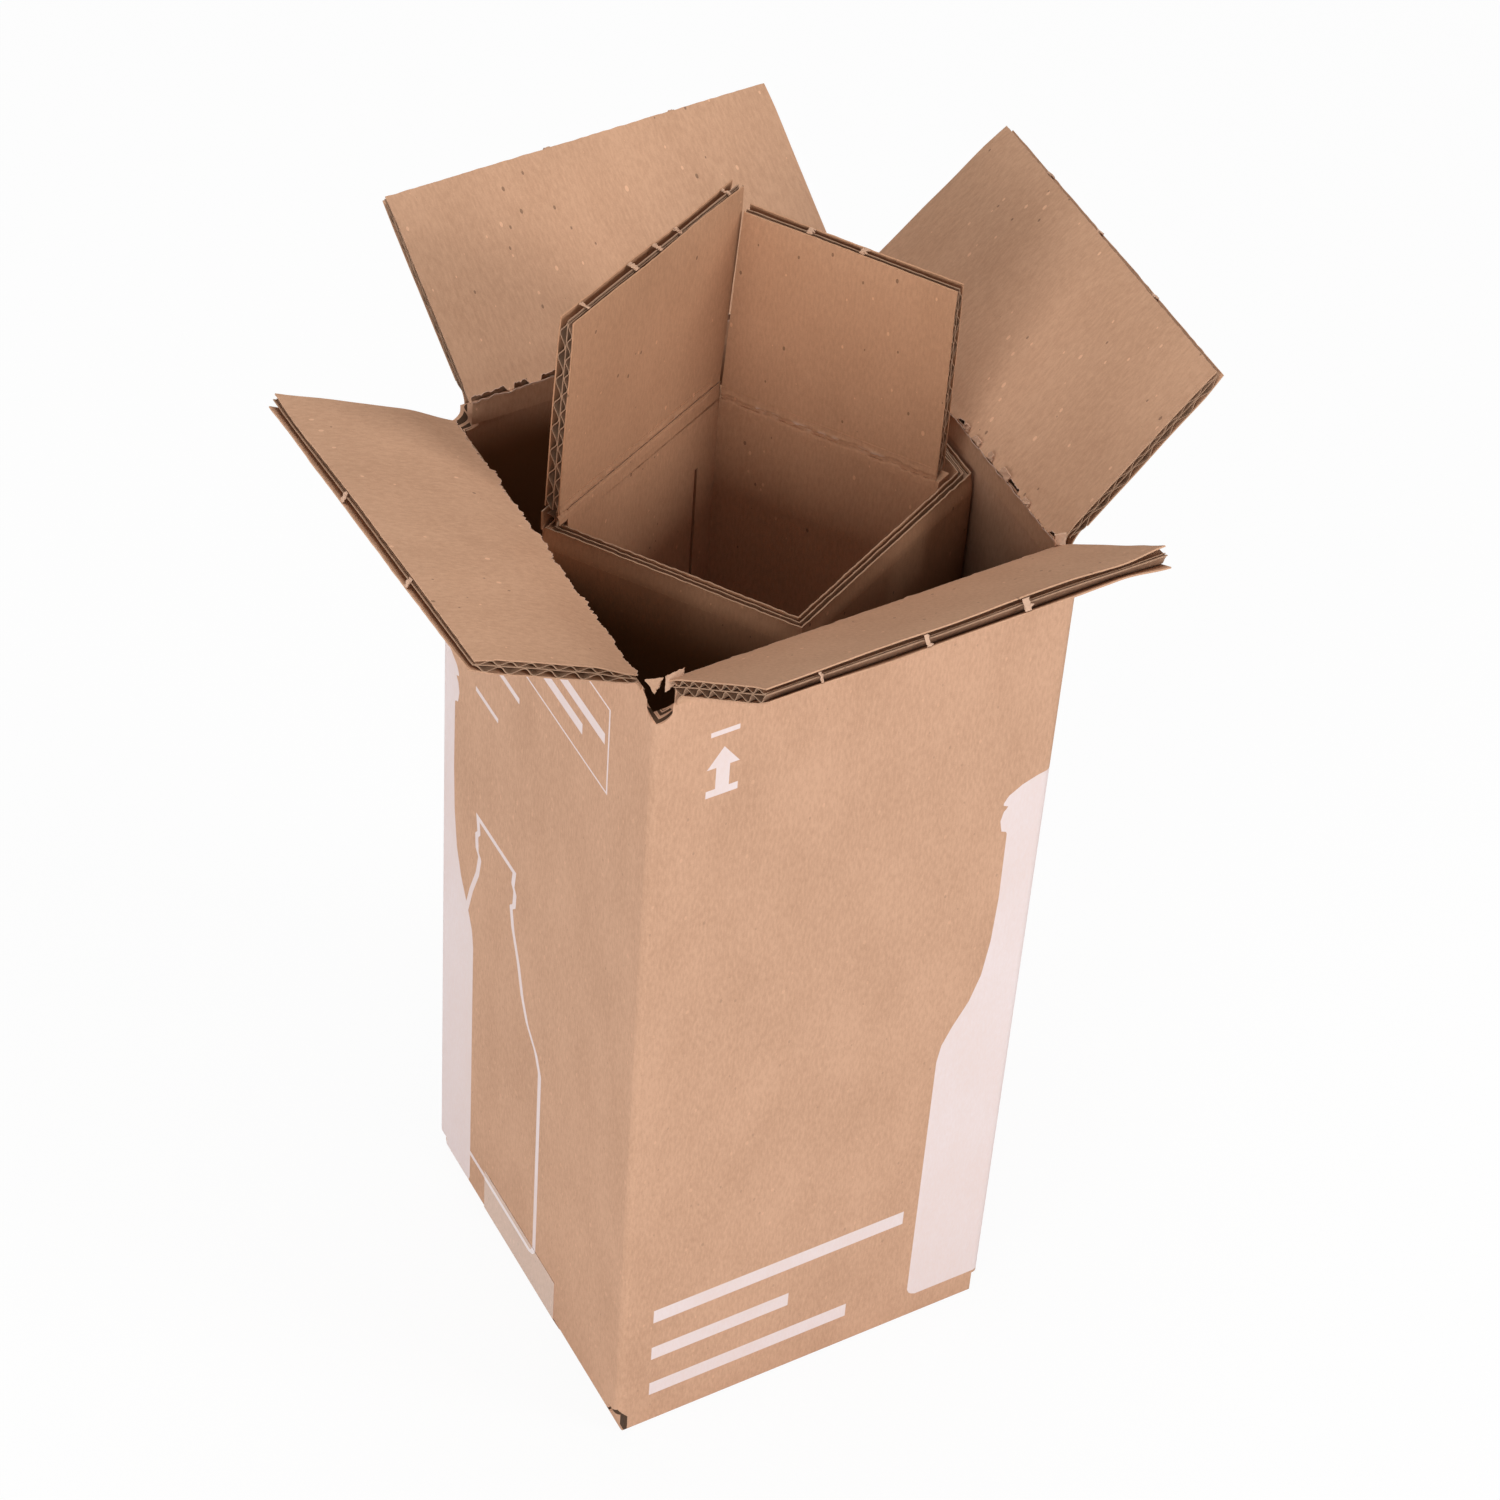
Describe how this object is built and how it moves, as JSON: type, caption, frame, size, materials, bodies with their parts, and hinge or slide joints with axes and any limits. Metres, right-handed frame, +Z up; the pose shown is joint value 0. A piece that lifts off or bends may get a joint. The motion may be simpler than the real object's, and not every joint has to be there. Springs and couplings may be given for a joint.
{
  "type": "bottle shipping box",
  "caption": "Tall kraft corrugated shipping box with open hinged top flaps and a sleeve insert set cornerwise that holds a bottle upright.",
  "frame": {"origin": "centre of the carton's underside, on the floor", "axes": "+Z up along the carton, -Y out of the front wall with the arrow, -X out of the left wall"},
  "size_m": [0.2177, 0.2157, 0.384],
  "materials": {
    "kraft_carton": "matt kraft liner with pale one-colour print",
    "kraft_insert": "matt kraft liner",
    "clear_tape": "clear packing tape"
  },
  "bodies": {
    "box": {"carton": "kraft_carton", "tape": "clear_tape", "insert_sleeve": "kraft_insert"},
    "flap_front": {"flap_front": "kraft_carton"},
    "flap_back": {"flap_back": "kraft_carton"},
    "flap_left": {"flap_left": "kraft_carton"},
    "flap_right": {"flap_right": "kraft_carton"},
    "insert_flap_left": {"insert_flap_left": "kraft_insert"},
    "insert_flap_right": {"insert_flap_right": "kraft_insert"}
  },
  "joints": [
    {"name": "flap_front_fold", "type": "hinge", "parent": "box", "child": "flap_front", "pos_m": [0, -0.0567, 0.32], "axis": [1, 0, 0], "range_deg": [-89.1, 40.9]},
    {"name": "flap_back_fold", "type": "hinge", "parent": "box", "child": "flap_back", "pos_m": [0, 0.0567, 0.32], "axis": [-1, 0, 0], "range_deg": [-58.9, 31.1]},
    {"name": "flap_left_fold", "type": "hinge", "parent": "box", "child": "flap_left", "pos_m": [-0.0577, 0, 0.32], "axis": [0, -1, 0], "range_deg": [-63.3, 26.7]},
    {"name": "flap_right_fold", "type": "hinge", "parent": "box", "child": "flap_right", "pos_m": [0.0577, 0, 0.32], "axis": [0, 1, 0], "range_deg": [-46, 44]},
    {"name": "insert_flap_right_fold", "type": "hinge", "parent": "box", "child": "insert_flap_right", "pos_m": [0.00903, 0.03947, 0.3106], "axis": [0.5686, -0.8226, 0], "range_deg": [-0.5, 89.5]},
    {"name": "insert_flap_left_fold", "type": "hinge", "parent": "box", "child": "insert_flap_left", "pos_m": [0.00903, 0.03947, 0.3157], "axis": [0.9102, 0.4141, 0], "range_deg": [-2.5, 87.5]}
  ]
}
